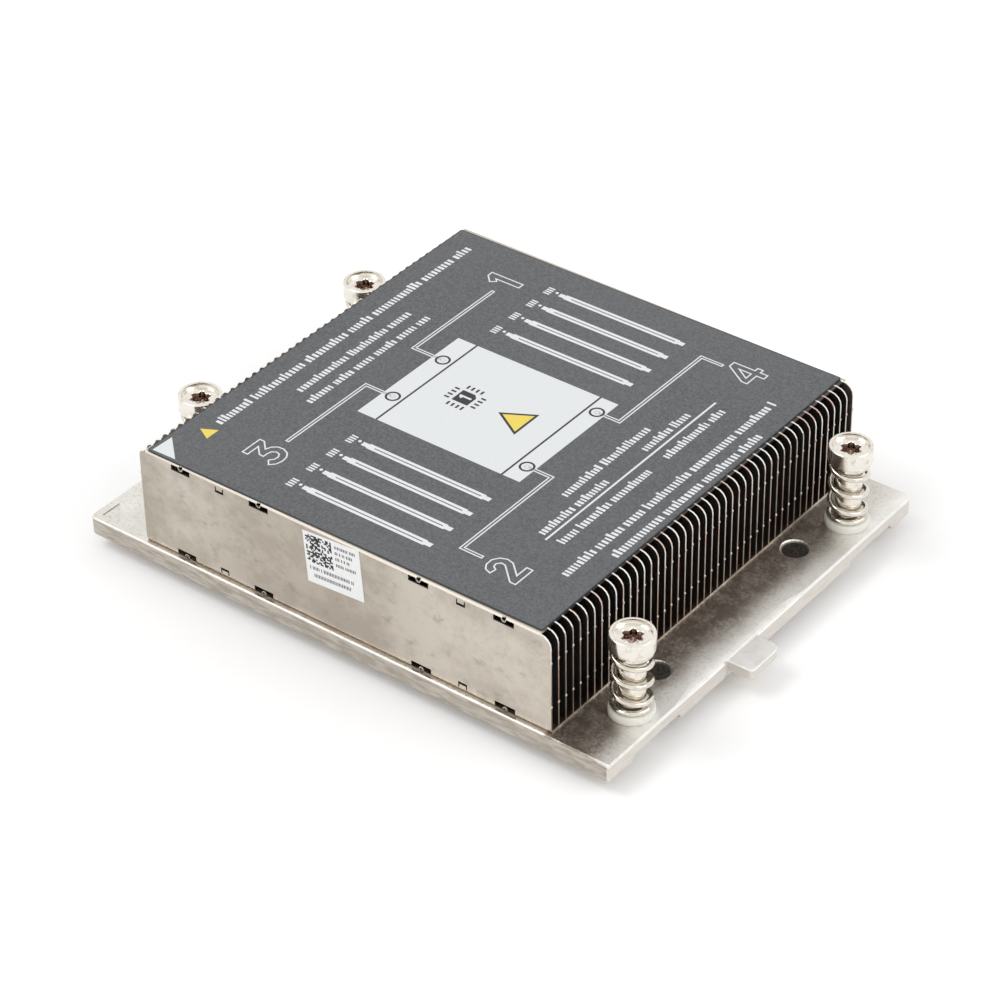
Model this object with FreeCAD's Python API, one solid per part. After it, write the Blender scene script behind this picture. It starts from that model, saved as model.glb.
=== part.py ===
import FreeCAD, Part
import math
import os

# Low passive heat sink for a server processor. All sizes are in millimetres.
# The origin is the centre of the contact face under the base plate.
# Air flows towards +X, the end with the tab. +Z is up.

# Base plate
BASE_LENGTH = 116.0
BASE_WIDTH = 93.4
BASE_THICKNESS = 3.6
BASE_CORNER_RADIUS = 1.4
BASE_EDGE_RADIUS = 0.3

# Tab that stands out of the downstream end
TAB_REACH = 4.9
TAB_WIDTH = 9.0
TAB_THICKNESS = 2.0
TAB_DROP = 0.3
TAB_CENTRE_Y = -7.6
TAB_OUTER_RADIUS = 2.2
TAB_INNER_RADIUS = 0.9
TAB_EDGE_RADIUS = 0.2
TAB_NOTCH_RADIUS = 0.5

# Top rim rolled down by the press on both sides of the tab
ROLL_LENGTH = 2.2
ROLL_DROP = 0.5
ROLL_HALF_WIDTH = 26.5

# Round blind recesses in the downstream strip
DIMPLE_RADIUS = 2.8
DIMPLE_DEPTH = 0.5
DIMPLE_BEVEL = 0.3
DIMPLE_FROM_END = 8.3
DIMPLE_SPACING = 42.4
DIMPLE_CENTRE_Y = -0.4

# Triangle scribed in the corner that shows which way round the part goes
MARK_LEG = 4.5
MARK_FROM_EDGE = 1.7
MARK_LINE = 0.35
MARK_DEPTH = 0.15

# Fins: folded sheet, each with a top and a bottom flange
SHEET = 0.3
FIN_HEIGHT = 20.0
FIN_PITCH = 2.01
UPSTREAM_CORNER_RADIUS = 1.2
DOWNSTREAM_CORNER_RADIUS = 2.2
FLANGE_GAP = 0.02
UPSTREAM_STRIP = 13.2
DOWNSTREAM_STRIP = 12.6
STACK_MARGIN = 0.9
LAST_FLANGE = 0.9
OUTER_BEND_RADIUS = 0.6

# Interlock openings in the two outer fins, in two groups along the fin
GROUP_OFFSET = 26.5
SLOT_OFFSET = 8.95
SLOT_LENGTH = 4.3
SLOT_HEIGHT = 1.1
BITE_RADIUS = 0.5
LANCE_WIDTH = 1.9
LANCE_HEIGHT = 1.3
LANCE_SIDE_SLIT = 0.25
LANCE_END_SLIT = 0.5

# Sheet on top of the fins and the small sticker on the outer fin, both stuck on a little crooked
LABEL_THICKNESS = 0.2
LABEL_UPSTREAM_MARGIN = 1.35
LABEL_DOWNSTREAM_MARGIN = 2.65
LABEL_SIDE_MARGIN = 0.6
LABEL_FAR_MARGIN = 0.5
LABEL_CORNER_RADIUS = 0.5
LABEL_TURN = 0.4
STICKER_THICKNESS = 0.1
STICKER_LENGTH = 12.5
STICKER_HEIGHT = 10.6
STICKER_FROM_CENTRE = -1.0
STICKER_BELOW_TOP = 5.9
STICKER_TILT = 4.0

# Captive screws, from the ends of the base plate
WIDE_PAIR_FROM_END = 5.3
WIDE_PAIR_SPACING = 66.0
NARROW_PAIR_FROM_END = 7.5
NARROW_PAIR_SPACING = 46.8
HEAD_RADIUS = 4.05
HEAD_HEIGHT = 3.2
RIM_RADIUS = 3.4
RIM_DEPTH = 0.8
RECESS_RADIUS = 1.93
RECESS_WAIST = 1.4
RECESS_DEPTH = 1.9
RECESS_LOBES = 6
RECESS_LOBE_HALF_ANGLE = 12.0
SHANK_RADIUS = 2.45
NECK_RADIUS = 1.55
THREAD_RADIUS = 2.0
THREAD_LENGTH = 3.1
TIP_CHAMFER = 0.5
SCREW_TRAVEL = 3.9
STOP_GAP = 0.05

# Plastic collars pressed into the base plate
COLLAR_RADIUS = 4.05
COLLAR_HEIGHT = 1.6
COLLAR_STEM_RADIUS = 3.3
COLLAR_BARB_RADIUS = 3.6
COLLAR_BARB_HEIGHT = 1.0
COLLAR_LIP = 0.7
COLLAR_FIT = 0.03
RUNNING_CLEARANCE = 0.08

# Relief under each screw, open to the end of the plate
RELIEF_DEPTH = 1.3
RELIEF_WIDTH = 12.8
RELIEF_PAST_SCREW = 6.8

# Compression springs, wound left-handed
SPRING_LENGTH = 12.2
SPRING_MEAN_RADIUS = 3.3
WIRE_RADIUS = 0.5
SPRING_TURNS = 4.2
SPRING_DEAD_TURNS = 0.6

# How finely round forms are drawn on the pieces that repeat
TURNED_SIDES = 20
CORNER_STEPS = 4
RIM_STEPS = 2
BEND_STEPS = 3
SPRING_STEPS_PER_TURN = 9
WIRE_SIDES = 5

# Heights and places that follow from the sizes above
FIN_TOP = BASE_THICKNESS + FIN_HEIGHT
FIN_START_X = -BASE_LENGTH / 2 + UPSTREAM_STRIP
FIN_END_X = BASE_LENGTH / 2 - DOWNSTREAM_STRIP
FIN_CENTRE_X = (FIN_START_X + FIN_END_X) / 2
FIN_COUNT = int((BASE_WIDTH - 2 * STACK_MARGIN - LAST_FLANGE) / FIN_PITCH) + 1
STACK_WIDTH = (FIN_COUNT - 1) * FIN_PITCH + LAST_FLANGE
STACK_START_Y = -STACK_WIDTH / 2
COLLAR_TOP = BASE_THICKNESS + COLLAR_HEIGHT
COLLAR_FOOT = RELIEF_DEPTH - COLLAR_BARB_HEIGHT
LIP_TOP = COLLAR_FOOT + COLLAR_LIP
HEAD_BOTTOM = COLLAR_TOP + SPRING_LENGTH
HEAD_TOP = HEAD_BOTTOM + HEAD_HEIGHT
SHANK_END = LIP_TOP + STOP_GAP + SCREW_TRAVEL
THREAD_TOP = COLLAR_FOOT - STOP_GAP
TIP_END = THREAD_TOP - THREAD_LENGTH
WIDE_PAIR_X = BASE_LENGTH / 2 - WIDE_PAIR_FROM_END
NARROW_PAIR_X = -BASE_LENGTH / 2 + NARROW_PAIR_FROM_END
SCREW_PLACES = [
    (NARROW_PAIR_X, NARROW_PAIR_SPACING / 2),
    (WIDE_PAIR_X, -WIDE_PAIR_SPACING / 2),
    (NARROW_PAIR_X, -NARROW_PAIR_SPACING / 2),
    (WIDE_PAIR_X, WIDE_PAIR_SPACING / 2),
]
UP = FreeCAD.Vector(0, 0, 1)


def point(x, y, z):
    return FreeCAD.Vector(x, y, z)


def box(x0, x1, y0, y1, z0, z1):
    return Part.makeBox(x1 - x0, y1 - y0, z1 - z0, point(x0, y0, z0))


def prism(points, direction):
    """Solid swept from a closed polygon."""
    return polygon_face(points).extrude(direction)


def solid_from(faces):
    shell = Part.makeShell(faces)
    shell.sewShape()
    solid = Part.makeSolid(shell)
    if solid.Volume < 0:
        solid.reverse()
    return solid


def polygon_face(points):
    return Part.Face(Part.makePolygon(points + [points[0]]))


def quarter_turn(radius, start_angle, steps):
    """Pairs along a quarter circle about the origin, in short straight steps."""
    turns = [math.radians(start_angle + 90 * step / steps) for step in range(steps + 1)]
    return [(radius * math.cos(turn), radius * math.sin(turn)) for turn in turns]


def rounded_outline(x0, x1, y0, y1, z, radii, inset):
    """Points of a rectangle drawn in by the inset; the radii count from its lowest corner round by +X."""
    corners = [(x0, y0, 1, 1), (x1, y0, -1, 1), (x1, y1, -1, -1), (x0, y1, 1, -1)]
    points = []
    for index, (x, y, inward_x, inward_y) in enumerate(corners):
        radius = radii[index]
        if radius == 0:
            points.append(point(x + inward_x * inset, y + inward_y * inset, z))
            continue
        centre_x = x + inward_x * radius
        centre_y = y + inward_y * radius
        for dx, dy in quarter_turn(radius - inset, 180 + 90 * index, CORNER_STEPS):
            points.append(point(centre_x + dx, centre_y + dy, z))
    return points


def rounded_plate(x0, x1, y0, y1, z0, z1, radii):
    """Flat plate with rounded corners and square rims."""
    return prism(rounded_outline(x0, x1, y0, y1, z0, radii, 0), point(0, 0, z1 - z0))


def soft_plate(x0, x1, y0, y1, z0, z1, radii, edge):
    """Flat plate with rounded corners whose rims are rounded as well, in short straight steps."""
    rings = []
    for out, down in reversed(quarter_turn(edge, 0, RIM_STEPS)):
        rings.append(rounded_outline(x0, x1, y0, y1, z0 + edge - down, radii, edge - out))
    for out, up in quarter_turn(edge, 0, RIM_STEPS):
        rings.append(rounded_outline(x0, x1, y0, y1, z1 - edge + up, radii, edge - out))
    faces = [polygon_face(rings[0]), polygon_face(rings[-1])]
    for lower, upper in zip(rings, rings[1:]):
        for index in range(len(lower)):
            other = (index + 1) % len(lower)
            faces.append(polygon_face([lower[index], lower[other], upper[other], upper[index]]))
    return solid_from(faces)


def save(name, shape):
    shape.exportStep("parts/" + name + ".step")


def base_outline():
    """Plate with its rolled rim and its tab, before the holes and recesses."""
    half_x = BASE_LENGTH / 2
    half_y = BASE_WIDTH / 2
    radii = [BASE_CORNER_RADIUS, 0, BASE_CORNER_RADIUS, BASE_CORNER_RADIUS]
    plate = soft_plate(-half_x, half_x, -half_y, half_y, 0, BASE_THICKNESS, radii, BASE_EDGE_RADIUS)
    tab_low = TAB_CENTRE_Y - TAB_WIDTH / 2
    tab_high = TAB_CENTRE_Y + TAB_WIDTH / 2
    tab_root = half_x - ROLL_LENGTH
    tab_tip = half_x + TAB_REACH
    top = BASE_THICKNESS - TAB_DROP
    radii = [0, TAB_INNER_RADIUS, TAB_OUTER_RADIUS, 0]
    tab = soft_plate(tab_root, tab_tip, tab_low, tab_high, top - TAB_THICKNESS, top, radii, TAB_EDGE_RADIUS)
    return plate.cut(rolled_rim()).fuse(tab).removeSplitter()


def rolled_rim():
    """Cutters for the rim beside the tab: a round slope of even depth, and a tip that fades out at each end."""
    end_x = BASE_LENGTH / 2
    outer_x = end_x + ROLL_DROP
    above = BASE_THICKNESS + ROLL_DROP
    outline = []
    for across, up in quarter_turn(1, 0, CORNER_STEPS):
        outline.append((end_x - ROLL_LENGTH * (1 - across), BASE_THICKNESS - ROLL_DROP * (1 - up)))
    outline += [(end_x - ROLL_LENGTH, above), (outer_x, above), (outer_x, BASE_THICKNESS - ROLL_DROP)]
    half = ROLL_HALF_WIDTH / 2
    cutters = [prism([point(x, TAB_CENTRE_Y - half, z) for x, z in outline], point(0, 2 * half, 0))]
    for side in (-1, 1):
        ring = [point(x, TAB_CENTRE_Y + side * half, z) for x, z in outline]
        tip = point(outer_x, TAB_CENTRE_Y + side * (half + ROLL_HALF_WIDTH), above)
        sides = [polygon_face([start, end, tip]) for start, end in zip(ring, ring[1:] + ring[:1])]
        cutters.append(solid_from([polygon_face(ring)] + sides))
    return cutters


def relief(x, y):
    """Shallow channel under a screw, with sloping sides, open at the near end of the plate."""
    outward = math.copysign(1, x)
    inner_x = x - outward * RELIEF_PAST_SCREW
    outer_x = outward * (BASE_LENGTH / 2 + 1)
    wide = RELIEF_WIDTH / 2 + RELIEF_DEPTH
    narrow = RELIEF_WIDTH / 2
    section = [
        point(inner_x, y - wide, -RELIEF_DEPTH),
        point(inner_x, y + wide, -RELIEF_DEPTH),
        point(inner_x, y + narrow, RELIEF_DEPTH),
        point(inner_x, y - narrow, RELIEF_DEPTH),
    ]
    return prism(section, point(outer_x - inner_x, 0, 0))


def scribed_triangle():
    """Outline of a right triangle, as a shallow groove in the top face."""
    x = -BASE_LENGTH / 2 + MARK_FROM_EDGE
    y = -BASE_WIDTH / 2 + MARK_FROM_EDGE
    floor = BASE_THICKNESS - MARK_DEPTH
    height = point(0, 0, 2 * MARK_DEPTH)
    far = MARK_LINE * (1 + math.sqrt(2)) + MARK_LINE
    outer = [point(x, y, floor), point(x + MARK_LEG, y, floor), point(x, y + MARK_LEG, floor)]
    inner = [
        point(x + MARK_LINE, y + MARK_LINE, floor),
        point(x + MARK_LEG - far + MARK_LINE, y + MARK_LINE, floor),
        point(x + MARK_LINE, y + MARK_LEG - far + MARK_LINE, floor),
    ]
    return prism(outer, height).cut(prism(inner, height))


def base_plate():
    cutters = [scribed_triangle()]
    hole = round_pin(COLLAR_STEM_RADIUS + COLLAR_FIT, -1, BASE_THICKNESS + 1)
    for place in SCREW_PLACES:
        cutters.append(relief(*place))
        cutters.append(at_place(hole, place))
    notch_y = TAB_CENTRE_Y - TAB_WIDTH / 2 - TAB_NOTCH_RADIUS
    notch = round_pin(TAB_NOTCH_RADIUS, -1, BASE_THICKNESS + 1)
    cutters.append(at_place(notch, (BASE_LENGTH / 2, notch_y)))
    dimple_x = BASE_LENGTH / 2 - DIMPLE_FROM_END
    for side in (-1, 1):
        cutters.append(at_place(dimple(), (dimple_x, DIMPLE_CENTRE_Y + side * DIMPLE_SPACING / 2)))
    return base_outline().cut(cutters)


def dimple():
    """Round recess with a bevelled mouth."""
    floor = BASE_THICKNESS - DIMPLE_DEPTH
    inner = DIMPLE_RADIUS - DIMPLE_BEVEL
    return turned([
        (0, floor),
        (inner, floor),
        (inner, BASE_THICKNESS - DIMPLE_BEVEL),
        (DIMPLE_RADIUS, BASE_THICKNESS),
        (DIMPLE_RADIUS, BASE_THICKNESS + 1),
        (0, BASE_THICKNESS + 1),
    ])


def folded_sheet(x0, x1, y, fold_z, free_z, reach, bend):
    """Upright sheet from fold_z to free_z with a flange at fold_z that points to +Y."""
    up = math.copysign(1, free_z - fold_z)
    inner_z = fold_z + up * SHEET
    outside = [(y, fold_z)]
    inside = [(y + SHEET, inner_z)]
    if bend > 0:
        centre_y = y + bend
        centre_z = fold_z + up * bend
        outside = [(centre_y + dy, centre_z + up * dz) for dy, dz in quarter_turn(bend, 180, BEND_STEPS)]
        rounds = quarter_turn(bend - SHEET, 180, BEND_STEPS)
        inside = [(centre_y + dy, centre_z + up * dz) for dy, dz in reversed(rounds)]
    section = [(y, free_z)] + outside + [(y + reach, fold_z), (y + reach, inner_z)]
    section += inside + [(y + SHEET, free_z)]
    return prism([point(x0, py, pz) for py, pz in section], point(x1 - x0, 0, 0))


def top_corner(end_x, y, shoulder, radius):
    """Rounded upper corner of a fin, down to the shoulder."""
    inward = math.copysign(1, FIN_CENTRE_X - end_x)
    centre_x = end_x + inward * radius
    points = [point(centre_x, y, shoulder), point(end_x, y, shoulder)]
    for dx, dz in quarter_turn(radius, 0, CORNER_STEPS):
        points.append(point(centre_x - inward * dx, y, FIN_TOP - radius + dz))
    return prism(points, point(0, SHEET, 0))


def fin(y, reach, bend):
    """Fin standing on the base plate, with rounded top corners and a fold at top and bottom."""
    shoulder = FIN_TOP - max(UPSTREAM_CORNER_RADIUS, DOWNSTREAM_CORNER_RADIUS) - SHEET
    flat_start = FIN_START_X + UPSTREAM_CORNER_RADIUS
    flat_end = FIN_END_X - DOWNSTREAM_CORNER_RADIUS
    lower = folded_sheet(FIN_START_X, FIN_END_X, y, BASE_THICKNESS, shoulder, reach, bend)
    upper = folded_sheet(flat_start, flat_end, y, FIN_TOP, shoulder, reach, bend)
    upstream = top_corner(FIN_START_X, y, shoulder, UPSTREAM_CORNER_RADIUS)
    downstream = top_corner(FIN_END_X, y, shoulder, DOWNSTREAM_CORNER_RADIUS)
    return lower.fuse([upper, upstream, downstream]).removeSplitter()


def slot(x, y, edge_z, inward):
    """Long opening beside a fold, with a round bite out of the strip left at the edge."""
    near_z = edge_z + inward * SHEET
    far_z = near_z + inward * SLOT_HEIGHT
    half = SLOT_LENGTH / 2
    deep = y + OUTER_BEND_RADIUS
    opening = box(x - half, x + half, y - SHEET, deep, min(near_z, far_z), max(near_z, far_z))
    bite_z = min(edge_z - inward * SHEET, near_z)
    bite = [point(x + dx, y - dy, bite_z) for dx, dy in quarter_turn(BITE_RADIUS, 180, 2)]
    bite += [point(x + dx, y - dy, bite_z) for dx, dy in quarter_turn(BITE_RADIUS, 270, 2)[1:]]
    return [opening, prism(bite, point(0, 0, 2 * SHEET))]


def lance(x, y, edge_z, inward):
    """Narrow slits round a small tab that hangs from the fold."""
    root = edge_z + inward * OUTER_BEND_RADIUS
    tip = edge_z + inward * LANCE_HEIGHT
    end = tip + inward * LANCE_END_SLIT
    half = LANCE_WIDTH / 2
    inner = half - LANCE_SIDE_SLIT
    front = y - SHEET
    back = y + 2 * SHEET
    return [
        box(x - half, x - inner, front, back, min(root, tip), max(root, tip)),
        box(x + inner, x + half, front, back, min(root, tip), max(root, tip)),
        box(x - half, x + half, front, back, min(tip, end), max(tip, end)),
    ]


def outer_fin(y, reach):
    """Fin that closes the stack, with the interlock openings that show on it."""
    cutters = []
    for edge_z, inward in ((FIN_TOP, -1), (BASE_THICKNESS, 1)):
        for group in (-GROUP_OFFSET, GROUP_OFFSET):
            centre = FIN_CENTRE_X + group
            cutters += slot(centre - SLOT_OFFSET, y, edge_z, inward)
            cutters += slot(centre + SLOT_OFFSET, y, edge_z, inward)
            cutters += lance(centre, y, edge_z, inward)
    return fin(y, reach, OUTER_BEND_RADIUS).cut(cutters)


def save_fins():
    """The stack of fins from -Y to +Y; each flange reaches to the next fin."""
    reach = FIN_PITCH - FLANGE_GAP
    last_y = STACK_START_Y + (FIN_COUNT - 1) * FIN_PITCH
    save("outer_fin_1", outer_fin(STACK_START_Y, reach))
    for number in range(1, FIN_COUNT - 1):
        save("fin_%02d" % number, fin(STACK_START_Y + number * FIN_PITCH, reach, 0))
    save("outer_fin_2", outer_fin(last_y, LAST_FLANGE))


def top_label():
    x0 = FIN_START_X + LABEL_UPSTREAM_MARGIN
    x1 = FIN_END_X - LABEL_DOWNSTREAM_MARGIN
    y0 = STACK_START_Y + LABEL_SIDE_MARGIN
    y1 = STACK_START_Y + STACK_WIDTH - LABEL_FAR_MARGIN
    radii = [LABEL_CORNER_RADIUS] * 4
    sheet = rounded_plate(x0, x1, y0, y1, FIN_TOP, FIN_TOP + LABEL_THICKNESS, radii)
    sheet.rotate(point((x0 + x1) / 2, (y0 + y1) / 2, 0), UP, LABEL_TURN)
    return sheet


def side_label():
    x = FIN_CENTRE_X + STICKER_FROM_CENTRE
    z = FIN_TOP - STICKER_BELOW_TOP
    face_y = STACK_START_Y
    half = STICKER_LENGTH / 2
    rise = STICKER_HEIGHT / 2
    sticker = box(x - half, x + half, face_y - STICKER_THICKNESS, face_y, z - rise, z + rise)
    sticker.rotate(point(x, face_y, z), point(0, 1, 0), -STICKER_TILT)
    return sticker


def ring_at(radius, height):
    turns = [2 * math.pi * side / TURNED_SIDES for side in range(TURNED_SIDES)]
    return [point(radius * math.cos(turn), radius * math.sin(turn), height) for turn in turns]


def turned(profile):
    """Many-sided solid about Z from radius and height pairs; radius 0 closes an end."""
    faces = []
    for start, end in zip(profile, profile[1:] + profile[:1]):
        if start[0] == 0 and end[0] == 0:
            continue
        if start[0] == 0 or end[0] == 0:
            faces.append(polygon_face(ring_at(max(start[0], end[0]), start[1])))
            continue
        lower = ring_at(*start)
        upper = ring_at(*end)
        for side in range(TURNED_SIDES):
            other = (side + 1) % TURNED_SIDES
            faces.append(polygon_face([lower[side], lower[other], upper[other], upper[side]]))
    return solid_from(faces).removeSplitter()


def revolved(profile):
    """Round solid about Z from radius and height pairs."""
    points = [point(radius, 0, height) for radius, height in profile]
    return polygon_face(points).revolve(point(0, 0, 0), UP, 360)


def round_pin(radius, low_z, high_z):
    return Part.makeCylinder(radius, high_z - low_z, point(0, 0, low_z), UP)


def at_place(shape, place):
    moved = shape.copy()
    moved.translate(point(place[0], place[1], 0))
    return moved


def collar():
    """Flanged guide with a snap ring under the plate and a lip that holds the screw."""
    outside = turned([
        (0, COLLAR_TOP),
        (COLLAR_RADIUS, COLLAR_TOP),
        (COLLAR_RADIUS, BASE_THICKNESS),
        (COLLAR_STEM_RADIUS, BASE_THICKNESS),
        (COLLAR_STEM_RADIUS, RELIEF_DEPTH),
        (COLLAR_BARB_RADIUS, RELIEF_DEPTH),
        (COLLAR_STEM_RADIUS, COLLAR_FOOT),
        (0, COLLAR_FOOT),
    ])
    shank_bore = round_pin(SHANK_RADIUS + RUNNING_CLEARANCE, LIP_TOP, COLLAR_TOP + 1)
    neck_bore = round_pin(NECK_RADIUS + RUNNING_CLEARANCE, COLLAR_FOOT - 1, LIP_TOP)
    return outside.cut([shank_bore, neck_bore])


def six_lobe_recess():
    """Star-shaped driving recess with flat-ended lobes."""
    floor = HEAD_TOP - RIM_DEPTH - RECESS_DEPTH
    share = 360 / RECESS_LOBES
    waist_half_angle = share / 2 - RECESS_LOBE_HALF_ANGLE
    points = []
    for lobe in range(RECESS_LOBES):
        middle = lobe * share
        valley = middle + share / 2
        for angle, radius in (
            (middle - RECESS_LOBE_HALF_ANGLE, RECESS_RADIUS),
            (middle + RECESS_LOBE_HALF_ANGLE, RECESS_RADIUS),
            (valley - waist_half_angle / 3, RECESS_WAIST),
            (valley + waist_half_angle / 3, RECESS_WAIST),
        ):
            turn = math.radians(angle)
            points.append(point(radius * math.cos(turn), radius * math.sin(turn), floor))
    return prism(points, point(0, 0, RECESS_DEPTH + RIM_DEPTH))


def captive_screw():
    """Head with a raised rim, guided shank, thin neck and threaded tip."""
    face = HEAD_TOP - RIM_DEPTH
    head = turned([
        (0, HEAD_BOTTOM),
        (HEAD_RADIUS, HEAD_BOTTOM),
        (HEAD_RADIUS, HEAD_TOP),
        (RIM_RADIUS, HEAD_TOP),
        (RIM_RADIUS, face),
        (0, face),
    ])
    stem = revolved([
        (0, TIP_END),
        (THREAD_RADIUS - TIP_CHAMFER, TIP_END),
        (THREAD_RADIUS, TIP_END + TIP_CHAMFER),
        (THREAD_RADIUS, THREAD_TOP),
        (NECK_RADIUS, THREAD_TOP),
        (NECK_RADIUS, SHANK_END),
        (SHANK_RADIUS, SHANK_END),
        (SHANK_RADIUS, HEAD_BOTTOM),
        (0, HEAD_BOTTOM),
    ])
    return head.fuse(stem).cut(six_lobe_recess())


def coil_path():
    """Points along the middle of the wire: dead turn, open turns, dead turn."""
    low = COLLAR_TOP + WIRE_RADIUS
    rise = SPRING_LENGTH - 2 * WIRE_RADIUS
    open_turns = SPRING_TURNS - 2 * SPRING_DEAD_TURNS
    steps = round(SPRING_TURNS * SPRING_STEPS_PER_TURN)
    points = []
    for step in range(steps + 1):
        turns = step / SPRING_STEPS_PER_TURN
        done = min(max(turns - SPRING_DEAD_TURNS, 0), open_turns) / open_turns
        turn = 2 * math.pi * turns
        x = SPRING_MEAN_RADIUS * math.cos(turn)
        y = -SPRING_MEAN_RADIUS * math.sin(turn)
        points.append(point(x, y, low + rise * done))
    return points


def screw_spring():
    """Coil of many-sided wire, mitred where one straight stretch meets the next."""
    path = coil_path()
    runs = [(path[i + 1] - path[i]).normalize() for i in range(len(path) - 1)]
    radial = point(1, 0, 0)
    across = runs[0].cross(radial)
    ring = []
    for side in range(WIRE_SIDES):
        turn = math.radians(360 * side / WIRE_SIDES + 90)
        ring.append(path[0] + radial * (WIRE_RADIUS * math.cos(turn)) + across * (WIRE_RADIUS * math.sin(turn)))
    faces = [polygon_face(ring)]
    for index, run in enumerate(runs):
        following = runs[min(index + 1, len(runs) - 1)]
        mitre = run + following
        end = path[index + 1]
        next_ring = [v + run * ((end - v).dot(mitre) / run.dot(mitre)) for v in ring]
        for side in range(WIRE_SIDES):
            other = (side + 1) % WIRE_SIDES
            corners = [ring[side], ring[other], next_ring[other], next_ring[side]]
            faces.append(polygon_face(corners))
        ring = next_ring
    faces.append(polygon_face(ring))
    return solid_from(faces)


def build():
    os.makedirs("parts", exist_ok=True)
    save("base_plate", base_plate())
    save_fins()
    save("top_label", top_label())
    save("side_label", side_label())
    save("screw_collars", Part.makeCompound([at_place(collar(), place) for place in SCREW_PLACES]))
    screw = captive_screw()
    spring = screw_spring()
    for number, place in enumerate(SCREW_PLACES, start=1):
        save("captive_screw_%d" % number, at_place(screw, place))
        save("screw_spring_%d" % number, at_place(spring, place))


build()
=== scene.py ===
import math
import random

import bmesh
import bpy
from mathutils import Matrix, Vector


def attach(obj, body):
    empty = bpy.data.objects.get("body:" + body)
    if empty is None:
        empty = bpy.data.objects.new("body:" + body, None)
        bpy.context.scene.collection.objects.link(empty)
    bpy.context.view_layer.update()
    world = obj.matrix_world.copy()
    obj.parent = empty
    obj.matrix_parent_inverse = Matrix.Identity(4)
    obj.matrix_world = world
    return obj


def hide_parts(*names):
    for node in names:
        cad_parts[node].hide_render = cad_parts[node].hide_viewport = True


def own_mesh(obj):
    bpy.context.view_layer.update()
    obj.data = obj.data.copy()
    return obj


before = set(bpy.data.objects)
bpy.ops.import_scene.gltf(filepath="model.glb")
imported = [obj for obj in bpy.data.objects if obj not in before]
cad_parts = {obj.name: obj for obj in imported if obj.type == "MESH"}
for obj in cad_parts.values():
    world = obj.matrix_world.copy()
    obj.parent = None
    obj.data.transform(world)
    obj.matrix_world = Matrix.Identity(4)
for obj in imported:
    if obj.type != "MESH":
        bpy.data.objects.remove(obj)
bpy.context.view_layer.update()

# Base plate
# A thick copper plate, cut flat, blasted and nickel plated, which gives it a fine grain.
# Everything else is fixed on it: the fins are soldered to it and the screws hang in it.
MM = 0.001


class Wire:
    """One output of a node. Arithmetic on it adds Math nodes."""

    def __init__(self, tree, socket):
        self.tree = tree
        self.socket = socket

    def maths(self, operation, *values):
        return self.tree.add("ShaderNodeMath", {"operation": operation}, dict(enumerate(values)))

    def root(self):
        return self.maths("SQRT", self)

    def floor(self):
        return self.maths("FLOOR", self)

    def output(self, name):
        return Wire(self.tree, self.socket.node.outputs[name])

    def __add__(self, other):
        return self.maths("ADD", self, other)

    def __radd__(self, other):
        return self.maths("ADD", other, self)

    def __sub__(self, other):
        return self.maths("SUBTRACT", self, other)

    def __rsub__(self, other):
        return self.maths("SUBTRACT", other, self)

    def __mul__(self, other):
        return self.maths("MULTIPLY", self, other)

    def __rmul__(self, other):
        return self.maths("MULTIPLY", other, self)

    def __truediv__(self, other):
        return self.maths("DIVIDE", self, other)

    def __gt__(self, other):
        return self.maths("GREATER_THAN", self, other)

    def __abs__(self):
        return self.maths("ABSOLUTE", self)

    def smaller(self, other):
        return self.maths("MINIMUM", self, other)

    def larger(self, other):
        return self.maths("MAXIMUM", self, other)

    def between(self, low, high):
        """0 below low, 1 above high and a soft step from one to the other."""
        return self.tree.add("ShaderNodeMapRange", {"interpolation_type": "SMOOTHSTEP"},
                             {"Value": self, "From Min": low, "From Max": high})


class Tree:
    """A node tree of a finish or of Geometry Nodes, filled one node at a time."""

    def __init__(self, tree):
        self.tree = tree

    def add(self, kind, settings, values, output=0):
        """A node with its settings; each socket gets a value or a wire."""
        node = self.tree.nodes.new(kind)
        for name, setting in settings.items():
            setattr(node, name, setting)
        for name, value in values.items():
            if isinstance(value, Wire):
                self.tree.links.new(value.socket, node.inputs[name])
            else:
                node.inputs[name].default_value = value
        return Wire(self, node.outputs[output]) if node.outputs else None


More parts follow.
